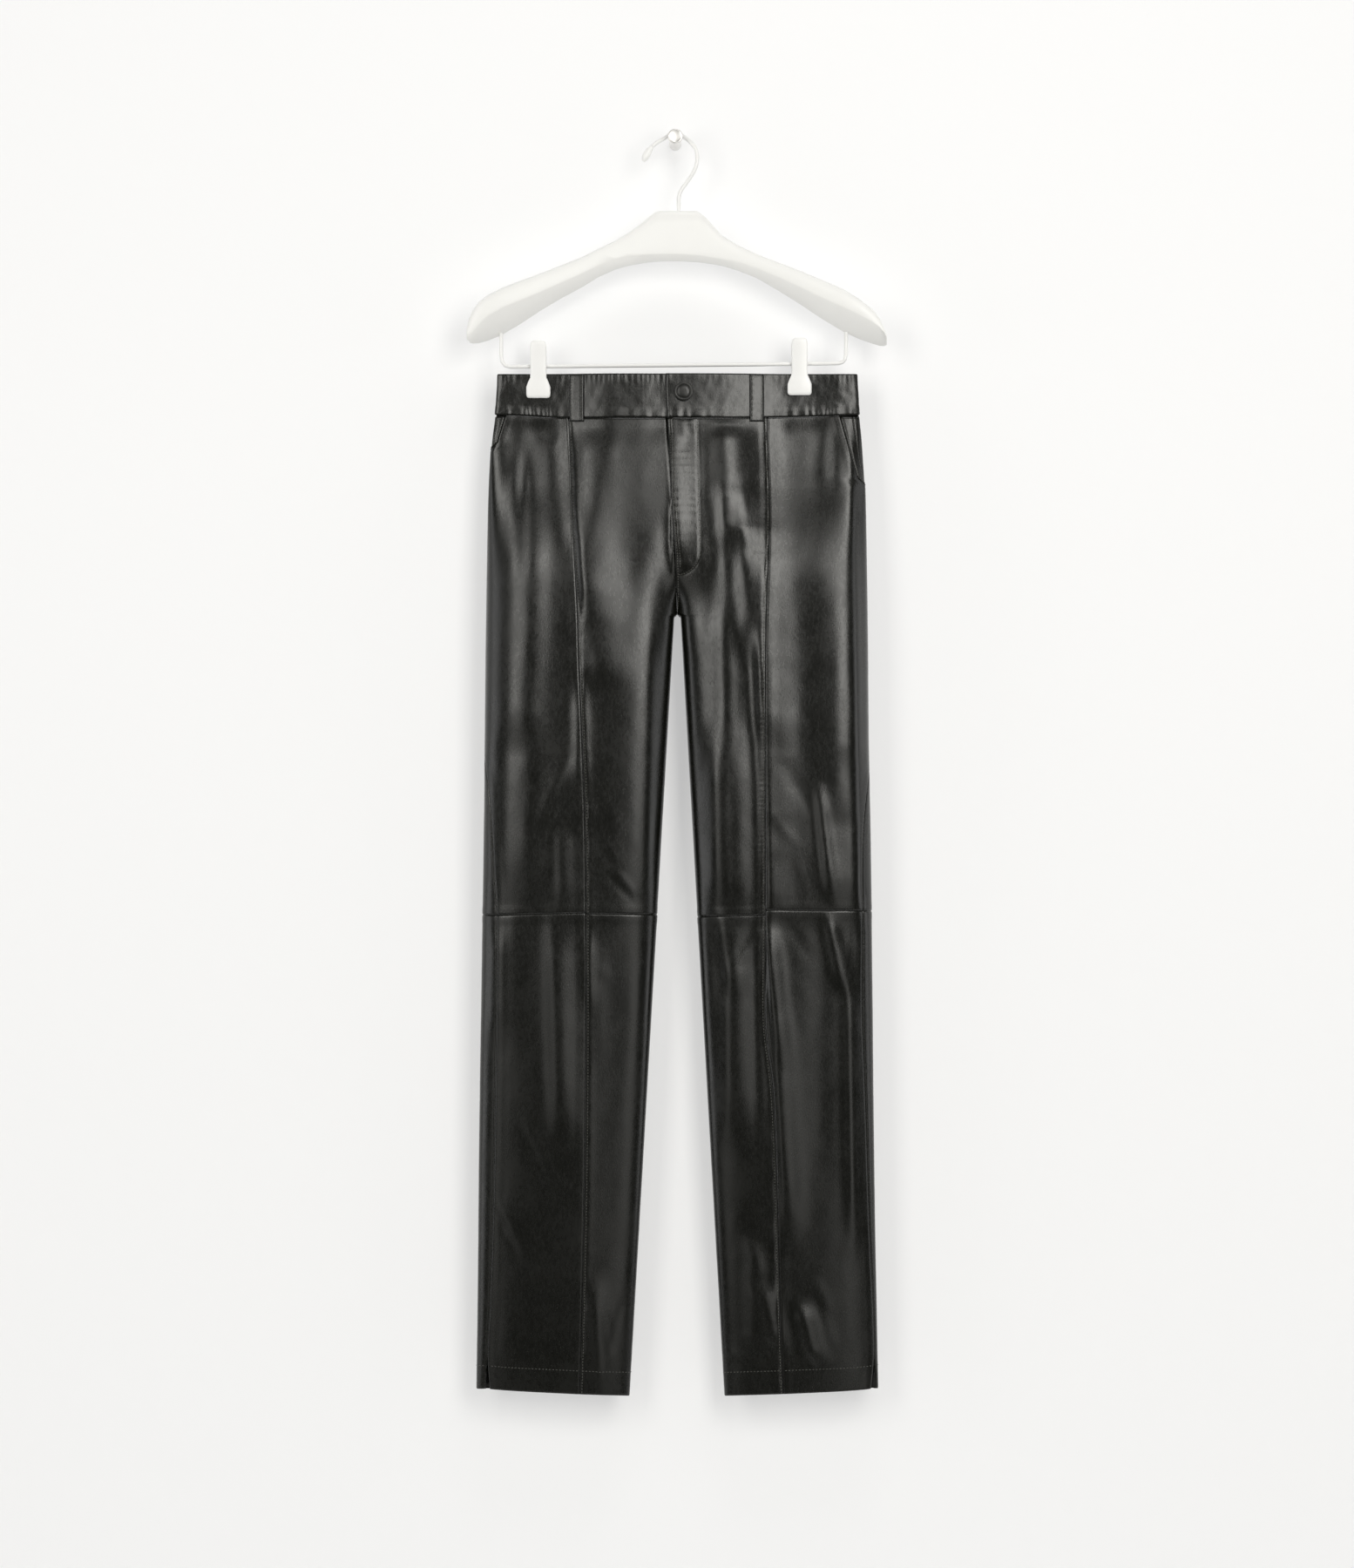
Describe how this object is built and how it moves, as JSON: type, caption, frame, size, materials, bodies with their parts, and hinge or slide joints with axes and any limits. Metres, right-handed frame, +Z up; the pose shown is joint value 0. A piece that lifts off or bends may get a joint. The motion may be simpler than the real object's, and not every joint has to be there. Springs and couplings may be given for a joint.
{
  "type": "leather trousers on a clip hanger and wall peg",
  "caption": "Straight black leather trousers with seamed knees and slit hems, hung by the waistband from a clip hanger on a wall peg.",
  "frame": {"origin": "centre of the peg's flat back face, where it meets the wall", "axes": "+Y out of the peg's back face into the wall, +Z up along the trousers, +X to the wearer's left, the front of the trousers faces -Y"},
  "size_m": [0.418, 0.0684, 1.2631],
  "materials": {
    "leather": "soft grained leather, semi gloss",
    "leather_inside": "matt",
    "hanger_white": "satin white lacquer",
    "clip_white": "white moulded",
    "wire_steel": "white coated wire",
    "peg_steel": "turned"
  },
  "bodies": {
    "root": {"front_centre_upper_r": "leather", "front_side_upper_r": "leather", "back_side_upper_r": "leather", "back_centre_upper_r": "leather", "front_centre_lower_r": "leather", "front_side_lower_r": "leather", "back_side_lower_r": "leather", "back_centre_lower_r": "leather", "pocket_welt_r": "leather", "pocket_facing_r": "leather", "front_centre_upper_l": "leather", "front_side_upper_l": "leather", "back_side_upper_l": "leather", "back_centre_upper_l": "leather", "front_centre_lower_l": "leather", "front_side_lower_l": "leather", "back_side_lower_l": "leather", "back_centre_lower_l": "leather", "pocket_welt_l": "leather", "pocket_facing_l": "leather", "waistband_front_l": "leather", "waistband_front_r": "leather", "waistband_back": "leather", "fly_facing": "leather_inside", "belt_loop_front_r": "leather", "belt_loop_front_l": "leather", "belt_loop_back_r": "leather", "belt_loop_back_l": "leather", "belt_loop_back_c": "leather", "waist_button": "leather", "hanger_body": "hanger_white", "hanger_hook": "wire_steel", "hook_sleeve": "clip_white", "trouser_bar": "wire_steel", "clip_front_r": "clip_white", "clip_back_r": "clip_white", "clip_core_r": "clip_white", "clip_front_l": "clip_white", "clip_back_l": "clip_white", "clip_core_l": "clip_white", "wall_peg": "peg_steel"}
  },
  "joints": []
}
